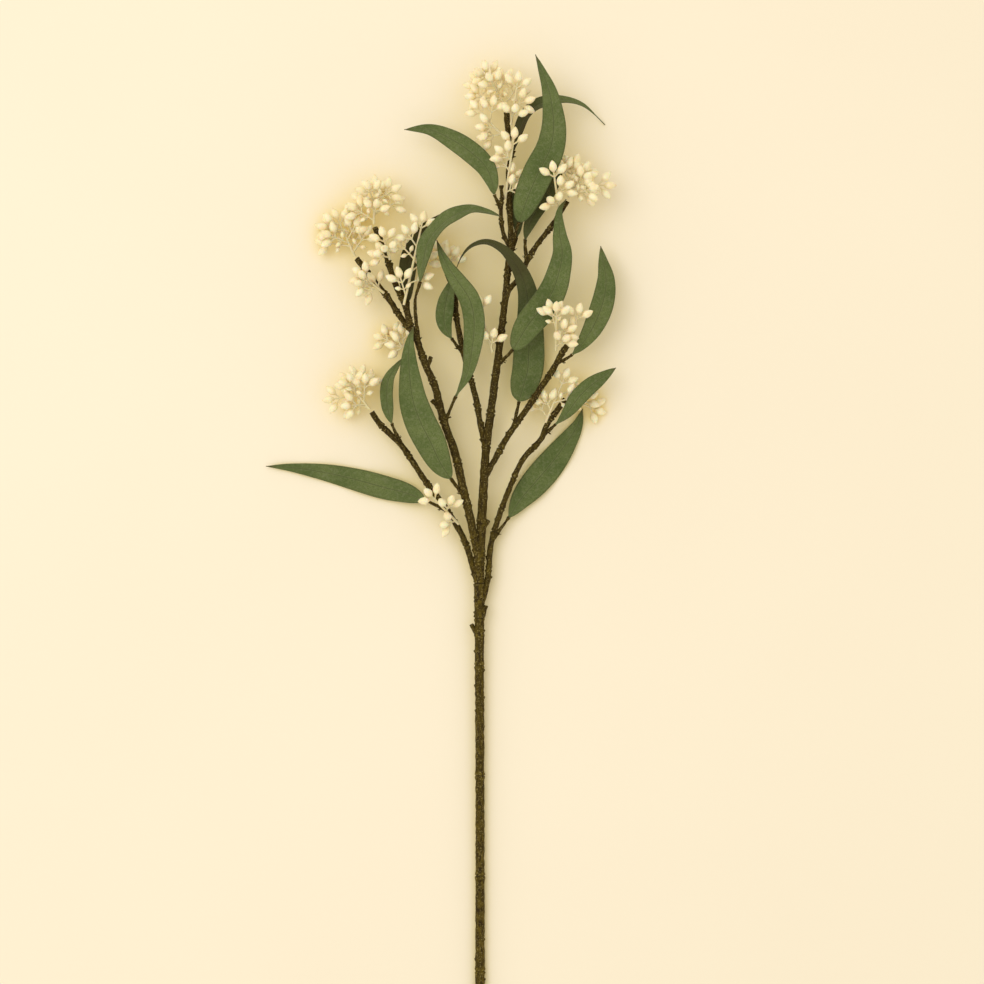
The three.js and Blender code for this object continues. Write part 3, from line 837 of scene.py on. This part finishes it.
def leaf_tree():
    """A leaf: a grid laid along its midrib line, channelled, veined, wavy and thickened."""
    tree, given = new_tree(
        "leaf_blade",
        [
            ("Rows", "NodeSocketInt", 120),
            ("Columns", "NodeSocketInt", 25),
            ("Thickness", "NodeSocketFloat", 0.55 * MM),
            ("Midrib Depth", "NodeSocketFloat", 0.45 * MM),
            ("Vein Depth", "NodeSocketFloat", 0.1 * MM),
            ("Vein Pairs", "NodeSocketFloat", VEIN_PAIRS),
            ("Wave", "NodeSocketFloat", 0.9 * MM),
            ("Wave Phase", "NodeSocketFloat", 0.0),
            ("Brown Shade From", "NodeSocketFloat", 2.0),
            ("Brown Shade To", "NodeSocketFloat", 3.0),
            ("Brown Shade Depth", "NodeSocketFloat", 0.0),
            ("Finish", "NodeSocketMaterial", None),
        ],
    )
    grid = place(
        tree,
        "GeometryNodeMeshGrid",
        {
            "Size X": 2.0,
            "Size Y": 1.0,
            "Vertices X": given.outputs["Columns"],
            "Vertices Y": given.outputs["Rows"],
        },
    ).outputs[0]
    split = place(
        tree, "ShaderNodeSeparateXYZ", {0: place(tree, "GeometryNodeInputPosition").outputs[0]}
    )
    flat = stored(tree, grid, "leaf_across", split.outputs["X"])
    flat = stored(tree, flat, "leaf_along", plus(tree, split.outputs["Y"], 0.5))
    across = point_value(tree, "leaf_across")
    along = point_value(tree, "leaf_along")
    out = math_node(tree, "ABSOLUTE", across)
    # Brown of a leaf's back and painted shade, from one share of its length to another
    brown = place(
        tree,
        "ShaderNodeMapRange",
        {
            "Value": along,
            1: given.outputs["Brown Shade From"],
            2: given.outputs["Brown Shade To"],
            4: given.outputs["Brown Shade Depth"],
        },
    ).outputs[0]
    flat = stored(tree, flat, "leaf_brown_and_shade", brown)

    spine = place(tree, "GeometryNodeMeshToCurve", {"Mesh": given.outputs["Geometry"]}).outputs[0]

    def sampled(name, kind):
        node = place(
            tree,
            "GeometryNodeSampleCurve",
            {"Curves": spine, "Value": point_value(tree, name, kind), "Factor": along},
            data_type=kind,
            mode="FACTOR",
        )
        return node.outputs["Value"], node.outputs["Position"]

    half, middle = sampled("half_width", "FLOAT")
    flat = stored(tree, flat, "leaf_half", half)
    side, _ = sampled("side_way", "FLOAT_VECTOR")
    rise_way, _ = sampled("rise_way", "FLOAT_VECTOR")

    deepest = math_node(
        tree, "MINIMUM", times(tree, half, CHANNEL_SHARE), CHANNEL_DEEPEST * MM
    )
    channel = times(tree, math_node(tree, "POWER", out, CHANNEL_CURVE), deepest)
    from_midrib = math_node(tree, "DIVIDE", times(tree, out, half), MIDRIB_HALF * MM)
    bell = times(tree, math_node(tree, "POWER", from_midrib, 2.0), -1.0)
    groove = times(
        tree,
        math_node(tree, "EXPONENT", bell),
        times(tree, given.outputs["Midrib Depth"], -1.0),
    )
    turns = times(tree, given.outputs["Vein Pairs"], 2 * math.pi)
    ridge = math_node(tree, "POWER", vein_wave(tree, along, out, turns), VEIN_SHARPNESS)
    fade = math_node(tree, "SUBTRACT", 1.0, math_node(tree, "POWER", out, VEIN_FADE))
    veins = times(
        tree, times(tree, ridge, fade), times(tree, given.outputs["Vein Depth"], -1.0)
    )
    phase = plus(tree, times(tree, along, WAVE_PACE), given.outputs["Wave Phase"])
    swing = math_node(tree, "SINE", plus(tree, phase, times(tree, across, WAVE_SKEW)))
    highest = math_node(
        tree, "MINIMUM", given.outputs["Wave"], times(tree, half, WAVE_SHARE)
    )
    edge_swing = times(tree, swing, math_node(tree, "POWER", out, WAVE_CURVE))
    wave = times(tree, edge_swing, highest)
    rise = plus(tree, plus(tree, channel, groove), plus(tree, veins, wave))
    beside = vector_scaled(tree, side, times(tree, across, half))
    above = vector_scaled(tree, rise_way, rise)
    spot = vector_added(tree, middle, vector_added(tree, beside, above))
    sheet = place(tree, "GeometryNodeSetPosition", {"Geometry": flat, "Position": spot}).outputs[0]
    top = place(
        tree,
        "GeometryNodeExtrudeMesh",
        {"Mesh": sheet, "Offset Scale": given.outputs["Thickness"], "Individual": False},
        mode="FACES",
    ).outputs["Mesh"]
    top = stored(tree, top, "leaf_under", 0.0, domain="FACE")
    under = place(tree, "GeometryNodeFlipFaces", {"Mesh": sheet}).outputs[0]
    under = stored(tree, under, "leaf_under", 1.0, domain="FACE")
    both = tree.nodes.new("GeometryNodeJoinGeometry")
    tree.links.new(top, both.inputs[0])
    tree.links.new(under, both.inputs[0])
    closed = place(
        tree, "GeometryNodeMergeByDistance", {"Geometry": both.outputs[0], "Distance": 2e-6}
    ).outputs[0]
    close_tree(tree, closed, given.outputs["Finish"])
    return tree


def bud_tree():
    """A bud spray: thin stalks swept along their lines, and a bud set on every bud point."""
    tree, given = new_tree(
        "bud_spray",
        [
            ("Stalk Sides", "NodeSocketInt", 8),
            ("Bud Sides", "NodeSocketInt", 9),
            ("Bud Length", "NodeSocketFloat", BUD_LENGTH * MM),
            ("Bud Radius", "NodeSocketFloat", BUD_RADIUS * MM),
            ("Finish", "NodeSocketMaterial", None),
        ],
    )
    stalks = swept(
        tree, given.outputs["Geometry"], point_value(tree, "thick"), given.outputs["Stalk Sides"]
    )
    stalks = stored(tree, stalks, "bud_part", 0.0)

    tip = place(tree, "ShaderNodeCombineXYZ", {"Z": given.outputs["Bud Length"]}).outputs[0]
    axis = place(tree, "GeometryNodeCurvePrimitiveLine", {"End": tip}).outputs[0]
    axis = place(tree, "GeometryNodeResampleCurve", {"Curve": axis, "Count": 9}).outputs[0]
    along = place(tree, "GeometryNodeSplineParameter").outputs["Factor"]
    outline = place(tree, "ShaderNodeFloatCurve", {"Value": along})
    shape = outline.mapping.curves[0]
    shape.points[0].location = (0.0, BUD_FOOT)
    shape.points[1].location = (1.0, BUD_TIP)
    for share, wide in BUD_OUTLINE:
        shape.points.new(share, wide)
    outline.mapping.update()
    radius = times(tree, outline.outputs[0], given.outputs["Bud Radius"])
    axis = stored(tree, axis, "bud_part", plus(tree, along, 0.1))
    circle = place(
        tree,
        "GeometryNodeCurvePrimitiveCircle",
        {"Resolution": given.outputs["Bud Sides"], "Radius": 1.0},
    ).outputs[0]
    bud = place(
        tree,
        "GeometryNodeCurveToMesh",
        {"Curve": axis, "Profile Curve": circle, "Scale": radius, "Fill Caps": True},
    ).outputs[0]
    way = point_value(tree, "bud_way", "FLOAT_VECTOR")
    turn = place(tree, "FunctionNodeAlignRotationToVector", {"Vector": way}, axis="Z").outputs[0]
    size = point_value(tree, "bud_size")
    buds = place(
        tree,
        "GeometryNodeInstanceOnPoints",
        {
            "Points": given.outputs["Geometry"],
            "Selection": math_node(tree, "GREATER_THAN", size, 0.01),
            "Instance": bud,
            "Rotation": turn,
            "Scale": size,
        },
    ).outputs[0]
    both = tree.nodes.new("GeometryNodeJoinGeometry")
    tree.links.new(stalks, both.inputs[0])
    tree.links.new(buds, both.inputs[0])
    close_tree(tree, both.outputs[0], given.outputs["Finish"])
    return tree


def grown(name, mesh, tree, settings):
    """Runs a tree on a mesh and returns its result as a plain mesh object at the origin."""
    seed = bpy.data.objects.new(name + "_lines", mesh)
    bpy.context.scene.collection.objects.link(seed)
    modifier = seed.modifiers.new("growth", "NODES")
    modifier.node_group = tree
    for item in tree.interface.items_tree:
        if item.item_type == "SOCKET" and item.in_out == "INPUT" and item.name in settings:
            modifier[item.identifier] = settings[item.name]
    depsgraph = bpy.context.evaluated_depsgraph_get()
    result = bpy.data.meshes.new_from_object(seed.evaluated_get(depsgraph))
    result.name = name
    bpy.data.objects.remove(seed)
    piece = bpy.data.objects.new(name, result)
    bpy.context.scene.collection.objects.link(piece)
    return piece


def settle_piece(piece, node):
    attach(piece, "root")
    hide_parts(node)


def line_mesh(name, vertices, edges, values):
    """A mesh of points and lines that carries named point values for a tree to read."""
    mesh = bpy.data.meshes.new(name)
    mesh.from_pydata(vertices, edges, [])
    for label, numbers in values.items():
        if isinstance(numbers[0], Vector):
            layer = mesh.attributes.new(label, "FLOAT_VECTOR", "POINT")
            layer.data.foreach_set("vector", [c for vector in numbers for c in vector])
        else:
            layer = mesh.attributes.new(label, "FLOAT", "POINT")
            layer.data.foreach_set("value", numbers)
    return mesh


# --- Finishes -------------------------------------------------------------------------


def new_finish(name, roughness):
    material = bpy.data.materials.new(name)
    material.use_nodes = True
    tree = material.node_tree
    shader = tree.nodes["Principled BSDF"]
    shader.inputs["Roughness"].default_value = roughness
    return material, tree, shader


def mixed(tree, factor, first, second):
    node = place(tree, "ShaderNodeMix", data_type="RGBA")
    for socket, value in ((0, factor), (6, first), (7, second)):
        if isinstance(value, bpy.types.NodeSocket):
            tree.links.new(value, node.inputs[socket])
        else:
            node.inputs[socket].default_value = value
    return node.outputs[2]


def ranged(tree, value, low, high, new_low=0.0, new_high=1.0):
    return place(
        tree,
        "ShaderNodeMapRange",
        {"Value": value, 1: low, 2: high, 3: new_low, 4: new_high},
    ).outputs[0]


def surface_value(tree, name):
    node = place(tree, "ShaderNodeAttribute", attribute_type="GEOMETRY", attribute_name=name)
    return node.outputs["Fac"]


def spread(tree, stretch=(1, 1, 1)):
    where = place(tree, "ShaderNodeTexCoord").outputs["Object"]
    return place(tree, "ShaderNodeMapping", {"Vector": where, "Scale": stretch}).outputs[0]


def bumped(tree, shader, height, distance, strength):
    bump = place(
        tree, "ShaderNodeBump", {"Height": height, "Distance": distance, "Strength": strength}
    )
    tree.links.new(bump.outputs[0], shader.inputs["Normal"])


def bark_finish():
    """Matt dark olive-brown plastic with pale grain, darker in the ring joints, with painted shade
    that darkens it towards the spray's head.
    """
    material, tree, shader = new_finish("brown_bark", 0.72)
    streaks = noise(tree, 520.0, 6.0, spread(tree, (1.0, 0.35, 1.0)))
    patches = noise(tree, 110.0, 3.0, spread(tree))
    specks = noise(tree, 900.0, 2.0, spread(tree))
    base = mixed(tree, ranged(tree, streaks, 0.38, 0.68), BARK_DARK, BARK_LIGHT)
    base = mixed(tree, ranged(tree, patches, 0.45, 0.7, 0.0, 0.6), base, BARK_PATCH)
    # Painted shade: the bark grows darker towards the spray's head, where the stems lie in shade
    rise = place(tree, "ShaderNodeSeparateXYZ", {"Vector": spread(tree)}).outputs["Y"]
    base = mixed(tree, ranged(tree, rise, -0.1, 0.1, 0.0, 0.55), base, BARK_PAINTED_SHADE)
    base = mixed(tree, ranged(tree, specks, 0.56, 0.68, 0.0, 0.75), base, BARK_SPECK)
    groove = ranged(tree, surface_value(tree, "ring"), 0.3, -0.6, 0.0, 0.85)
    base = mixed(tree, groove, base, BARK_GROOVE)
    tree.links.new(base, shader.inputs["Base Color"])
    tree.links.new(ranged(tree, streaks, 0.3, 0.7, 0.62, 0.86), shader.inputs["Roughness"])
    shader.inputs["Specular IOR Level"].default_value = 0.12
    bumped(tree, shader, plus(tree, streaks, specks), 0.25 * MM, 0.8)
    return material


def leaf_finish():
    """Matt grey-green printed cloth: pale midrib, slanting side veins, a fine weave."""
    material, tree, shader = new_finish("green_leaf", 0.78)
    across = surface_value(tree, "leaf_across")
    along = surface_value(tree, "leaf_along")
    wide = surface_value(tree, "leaf_half")
    out = math_node(tree, "ABSOLUTE", across)
    blotches = noise(tree, 45.0, 4.0, spread(tree))
    mottle = noise(tree, 1100.0, 2.0, spread(tree))
    fleck = noise(tree, 420.0, 4.0, spread(tree))
    base = mixed(tree, ranged(tree, blotches, 0.35, 0.65), LEAF_DEEP, LEAF_LIGHT)
    base = mixed(tree, ranged(tree, mottle, 0.35, 0.7, 0.0, 0.6), base, LEAF_MOTTLE)
    base = mixed(tree, ranged(tree, fleck, 0.5, 0.72, 0.0, 0.5), base, LEAF_FLECK)
    base = mixed(tree, ranged(tree, out, 0.86, 1.0, 0.0, 0.5), base, LEAF_EDGE)
    ridge = vein_wave(tree, along, out, VEIN_PAIRS * 2 * math.pi)
    base = mixed(tree, ranged(tree, ridge, 0.94, 1.0, 0.0, 0.12), base, LEAF_VEIN)
    from_midrib = times(tree, out, wide)
    shoulder = ranged(tree, from_midrib, 0.5 * MM, 1.3 * MM, 0.28, 0.0)
    base = mixed(tree, shoulder, base, LEAF_SHOULDER)
    midrib = ranged(tree, from_midrib, 0.2 * MM, 0.5 * MM, 0.65, 0.0)
    base = mixed(tree, midrib, base, LEAF_MIDRIB)
    base = mixed(tree, ranged(tree, along, 0.93, 1.0, 0.0, 0.7), base, LEAF_TIP)
    back = ranged(tree, surface_value(tree, "leaf_under"), 0.0, 1.0, 0.0, 0.5)
    base = mixed(tree, back, base, LEAF_BACK)
    # Brown of a leaf's back and painted shade, where the leaf tree laid it, uneven in blotches
    uneven = ranged(tree, blotches, 0.3, 0.6, 0.75, 1.0)
    brown = times(tree, surface_value(tree, "leaf_brown_and_shade"), uneven)
    base = mixed(tree, brown, base, LEAF_BROWN_AND_SHADE)
    tree.links.new(base, shader.inputs["Base Color"])
    tree.links.new(ranged(tree, mottle, 0.3, 0.7, 0.7, 0.9), shader.inputs["Roughness"])
    shader.inputs["Sheen Weight"].default_value = 0.12
    shader.inputs["Sheen Roughness"].default_value = 0.5
    shader.inputs["Specular IOR Level"].default_value = 0.3
    bumped(tree, shader, plus(tree, mottle, ridge), 0.12 * MM, 0.6)
    return material


def bud_finish():
    """Satin cream plastic, greener at the foot of each bud and on the thin stalks."""
    material, tree, shader = new_finish("cream_bud", 0.5)
    part = surface_value(tree, "bud_part")
    cloud = noise(tree, 160.0, 3.0, spread(tree))
    cream = mixed(tree, ranged(tree, cloud, 0.35, 0.7), BUD_CREAM, BUD_PALE)
    cream = mixed(tree, ranged(tree, part, 0.1, 0.42, 0.75, 0.0), cream, BUD_GREEN)
    cream = mixed(tree, ranged(tree, part, 0.98, 1.1, 0.0, 0.4), cream, BUD_POINT)
    cream = mixed(tree, ranged(tree, part, 0.0, 0.08, 1.0, 0.0), cream, TWIG_CREAM)
    tree.links.new(cream, shader.inputs["Base Color"])
    tree.links.new(ranged(tree, cloud, 0.3, 0.7, 0.42, 0.6), shader.inputs["Roughness"])
    shader.inputs["Subsurface Weight"].default_value = 0.6
    shader.inputs["Subsurface Radius"].default_value = (4 * MM, 3 * MM, 1.5 * MM)
    bumped(tree, shader, noise(tree, 700.0, 2.0, spread(tree)), 0.2 * MM, 0.35)
    return material


def floor_finish():
    """A smooth warm cream board, with painted shade: a deeper yellow mixed in where little of the
    sky reaches it.
    """
    material, tree, shader = new_finish("cream_board", 0.9)
    cloud = noise(tree, 3.0, 2.0, spread(tree))
    base = mixed(tree, cloud, BOARD_CREAM, BOARD_PALE)
    # Painted shade: ambient occlusion tints the board a deeper yellow around and under the spray
    sky = place(tree, "ShaderNodeAmbientOcclusion", {"Distance": 80 * MM}, samples=8)
    base = mixed(tree, ranged(tree, sky.outputs["AO"], 0.89, 0.35), base, BOARD_SHADE)
    tree.links.new(base, shader.inputs["Base Color"])
    shader.inputs["Specular IOR Level"].default_value = 0.1
    return material


# --- Pieces ---------------------------------------------------------------------------


def ring_share(length, joints):
    """The swelling of a ring joint at this length, 1 at its most, and -1 in its groove."""
    nearest = min((abs(length - joint) for joint in joints), default=JOINT_HALF)
    if nearest < GROOVE_HALF:
        return nearest / GROOVE_HALF * 2 - 1
    return max(0.0, (JOINT_HALF - nearest) / (JOINT_HALF - GROOVE_HALF))


class Rods:
    """Collects the routes of one stem piece as lines with a thickness at each point."""

    def __init__(self):
        self.points = []
        self.edges = []
        self.thick = []
        self.ring = []

    def add(self, route, radius, start=0.0, end=None, joints=(), collar=0.0):
        end = route.length if end is None else end
        steps = max(3, math.ceil((end - start) / ROD_STEP))
        first = len(self.points)
        for i in range(steps + 1):
            share = i / steps
            length = start + (end - start) * share
            wide = along_list(radius, length / end)
            wide += collar * max(0.0, (share - COLLAR_FROM) / (1 - COLLAR_FROM))
            self.points.append(framed(route.at(length)))
            self.thick.append(wide * MM)
            self.ring.append(ring_share(length, joints))
        self.edges += [(first + i, first + i + 1) for i in range(steps)]

    def add_knots(self, route, radius):
        """Blunt scars of old leaves, standing out on one side after another."""
        for i in range(1, int(route.length / KNOT_SPACING) + 1):
            length = (i + KNOT_WANDER * math.sin(KNOT_WANDER_PACE * i)) * KNOT_SPACING
            spot = route.station(min(length, route.length - KNOT_END_ROOM))
            centre, forward, side, up = spot
            wide = along_list(radius, length / route.length)
            way = side * math.cos(i * KNOT_TURN) + up * math.sin(i * KNOT_TURN)
            foot = centre - forward * KNOT_BEHIND
            head = centre + way * (wide + KNOT_RISE) + forward * KNOT_AHEAD
            knot = Route([foot, foot.lerp(head, 0.5), head])
            self.add(knot, (wide * KNOT_FOOT_SHARE, KNOT_HEAD_RADIUS))

    def add_thorns(self, route, length):
        """Small spikes around a leaf stalk, close to where it leaves its branch."""
        centre, forward, side, up = route.station(length)
        for i in range(THORNS):
            angle = math.radians(THORN_FIRST + 360 / THORNS * i)
            way = side * math.cos(angle) + up * math.sin(angle) + forward * THORN_LEAN
            tip = centre + way.normalized() * THORN_LENGTH
            self.add(Route([centre, centre.lerp(tip, 0.5), tip]), THORN_RADIUS)


def stem_piece(branch, tree, finish):
    rods = Rods()
    line = Route(branch["route"])
    rods.add(line, branch["radius"], joints=branch["joints"])
    rods.add_knots(line, branch["radius"])
    for points in branch.get("stubs", []):
        rods.add(Route(points), STUB_RADIUS)
    for leaf in LEAVES:
        if leaf["branch"] == branch["name"]:
            route = Route(leaf["route"])
            end = route.length_at_knot(leaf.get("stalk", 1))
            rods.add(route, STALK_RADIUS, end=end, collar=STALK_COLLAR)
            rods.add_thorns(route, branch["radius"][0] + THORN_BEYOND)
    mesh = line_mesh(
        branch["name"], rods.points, rods.edges, {"thick": rods.thick, "ring": rods.ring}
    )
    sides = MAIN_SIDES if branch is MAIN_STEM else BRANCH_SIDES
    piece = grown(branch["name"] + "_bark", mesh, tree, {"Sides": sides, "Finish": finish})
    settle_piece(piece, branch["name"])


def blade_share(along, widest, fullness):
    power = math.log(0.5) / math.log(widest)
    return max(0.0, math.sin(math.pi * along**power)) ** fullness


def leaf_piece(leaf, number, tree, finish):
    route = Route(leaf["route"])
    start = route.length_at_knot(leaf.get("stalk", 1)) + JOIN_GAP
    length = route.length - start
    points, halves, sides, rises = [], [], [], []
    for i in range(LEAF_STATIONS + 1):
        along = i / LEAF_STATIONS
        centre, _, side, up = route.station(start + along * length)
        least = LEAF_NECK + (LEAF_POINT - LEAF_NECK) * along
        share = blade_share(along, leaf["widest"], leaf.get("fullness", BLADE_FULLNESS))
        half = max(least, share * leaf["width"] / 2)
        roll = math.radians(leaf["roll"][0] + (leaf["roll"][1] - leaf["roll"][0]) * along)
        points.append(framed(centre))
        halves.append(half * MM)
        sides.append(side * math.cos(roll) + up * math.sin(roll))
        rises.append(up * math.cos(roll) - side * math.sin(roll))
    edges = [(i, i + 1) for i in range(LEAF_STATIONS)]
    values = {"half_width": halves, "side_way": sides, "rise_way": rises}
    mesh = line_mesh(leaf["name"], points, edges, values)
    settings = {"Finish": finish, "Wave Phase": number * WAVE_STEP}
    # Leaves given the brown of their back and painted shade
    if leaf["name"] in BROWN_AND_PAINTED_SHADE:
        brown_shade_from, brown_shade_to, depth = BROWN_AND_PAINTED_SHADE[leaf["name"]]
        settings["Brown Shade From"] = brown_shade_from
        settings["Brown Shade To"] = brown_shade_to
        settings["Brown Shade Depth"] = depth
    piece = grown(leaf["name"] + "_blade", mesh, tree, settings)
    settle_piece(piece, leaf["name"])


class SprayLines:
    """Collects the thin stalks of one bud spray, and the places and ways of its buds."""

    def __init__(self):
        self.points = []
        self.edges = []
        self.thick = []
        self.way = []
        self.size = []

    def stalk(self, start, end, radius):
        first = len(self.points)
        for i in range(STALK_STEPS + 1):
            share = i / STALK_STEPS
            self.points.append(framed(start.lerp(end, share)))
            self.thick.append(along_list(radius, share) * MM)
            self.way.append(Vector((0, 0, 1)))
            self.size.append(0.0)
        self.edges += [(first + i, first + i + 1) for i in range(STALK_STEPS)]

    def bud(self, foot, way, size):
        self.points.append(framed(foot))
        self.thick.append(0.0)
        self.way.append(way)
        self.size.append(size)

    def trio(self, hub, direction, sideways):
        for turn in (-1, 0, 1):
            angle = turn * TRIO_OPENING
            way = (direction * math.cos(angle) + sideways * math.sin(angle)).normalized()
            neck = hub + way * TRIO_STALK
            self.stalk(hub, neck, TRIO_STALK_RADIUS)
            self.bud(neck - way * TRIO_SINK, way, 1.0)

    def small_pair(self, hub, direction, sideways):
        """Two half-grown buds facing away from each other."""
        for turn in (-1, 1):
            way = (direction * SMALL_LEAN + sideways * turn).normalized()
            neck = hub + way * SMALL_STALK
            self.stalk(hub, neck, SMALL_STALK_RADIUS)
            self.bud(neck - way * SMALL_SINK, way, SMALL_BUD)


def spray_piece(spray, tree, finish):
    foot, head = Vector(spray["start"]), Vector(spray["end"])
    axis = (head - foot).normalized()
    side = axis.cross(UP).normalized()
    up = side.cross(axis).normalized()
    lines = SprayLines()
    lines.stalk(foot, head, SPRAY_STALK_RADIUS)
    for i in range(spray["twigs"]):
        turn = spray["spin"] + i * TWIG_TURN
        outward = side * math.cos(turn) + up * (math.sin(turn) * spray["flat"])
        direction = axis * math.cos(SPRAY_OPENING) + outward * math.sin(SPRAY_OPENING)
        direction.normalize()
        hub = foot.lerp(head, TWIGS_FROM + (TWIGS_TO - TWIGS_FROM) * i / spray["twigs"])
        reach = spray["reach"] * TWIG_REACHES[i % len(TWIG_REACHES)]
        far = hub + direction * reach
        sideways = direction.cross(up).normalized()
        lines.stalk(hub, far, TWIG_RADIUS)
        lines.trio(far, direction, sideways)
        if reach > LONG_TWIG:
            lines.small_pair(hub.lerp(far, 0.5), direction, sideways)
    lines.trio(head, axis, side)
    values = {"thick": lines.thick, "bud_way": lines.way, "bud_size": lines.size}
    mesh = line_mesh(spray["name"], lines.points, lines.edges, values)
    piece = grown(spray["name"] + "_spray", mesh, tree, {"Finish": finish})
    settle_piece(piece, spray["name"])


def build_spray():
    bark = bark_finish()
    green = leaf_finish()
    cream = bud_finish()
    rods = bark_tree()
    blades = leaf_tree()
    buds = bud_tree()
    for branch in [MAIN_STEM, *BRANCHES]:
        stem_piece(branch, rods, bark)
    for number, leaf in enumerate(LEAVES):
        leaf_piece(leaf, number, blades, green)
    for spray in SPRAYS:
        spray_piece(spray, buds, cream)


# --- Studio ---------------------------------------------------------------------------


def make_camera():
    """Straight above the spray, far enough up for its raised leaves to keep their size."""
    data = bpy.data.cameras.new("camera")
    data.sensor_width = SENSOR_WIDTH
    data.lens = SENSOR_WIDTH * CAMERA_HEIGHT / VIEW_WIDTH
    camera = bpy.data.objects.new("camera", data)
    camera.location = framed(VIEW_MIDDLE) + Vector((0, 0, CAMERA_HEIGHT))
    bpy.context.scene.collection.objects.link(camera)
    bpy.context.scene.camera = camera


def make_floor():
    mesh = bpy.data.meshes.new("board")
    turns = [(-1, -1), (1, -1), (1, 1), (-1, 1)]
    corners = [(x * BOARD_HALF, y * BOARD_HALF, 0) for x, y in turns]
    mesh.from_pydata(corners, [], [(0, 1, 2, 3)])
    floor = bpy.data.objects.new("board", mesh)
    mesh.materials.append(floor_finish())
    bpy.context.scene.collection.objects.link(floor)


def make_lamp(name, spot, size, power, colour):
    """A round soft lamp at this spot, turned to the middle of the spray."""
    data = bpy.data.lights.new(name, "AREA")
    data.shape = "DISK"
    data.size = size
    data.energy = power
    data.color = colour
    lamp = bpy.data.objects.new(name, data)
    lamp.location = spot
    lamp.rotation_mode = "QUATERNION"
    lamp.rotation_quaternion = (-Vector(spot)).to_track_quat("-Z", "Y")
    bpy.context.scene.collection.objects.link(lamp)


def make_studio():
    make_lamp("window", (-1.1, 0.65, 2.6), 2.4, 26, (1.0, 1.0, 1.0))
    make_lamp("fill", (1.6, -0.8, 2.6), 2.4, 2, (1.0, 1.0, 1.0))
    world = bpy.data.worlds.new("room")
    world.use_nodes = True
    background = world.node_tree.nodes["Background"]
    background.inputs["Color"].default_value = (1.0, 0.95, 0.8, 1)
    background.inputs["Strength"].default_value = 0.82
    bpy.context.scene.world = world
    bpy.context.scene.view_settings.view_transform = "Standard"


make_camera()
make_floor()
make_studio()
build_spray()
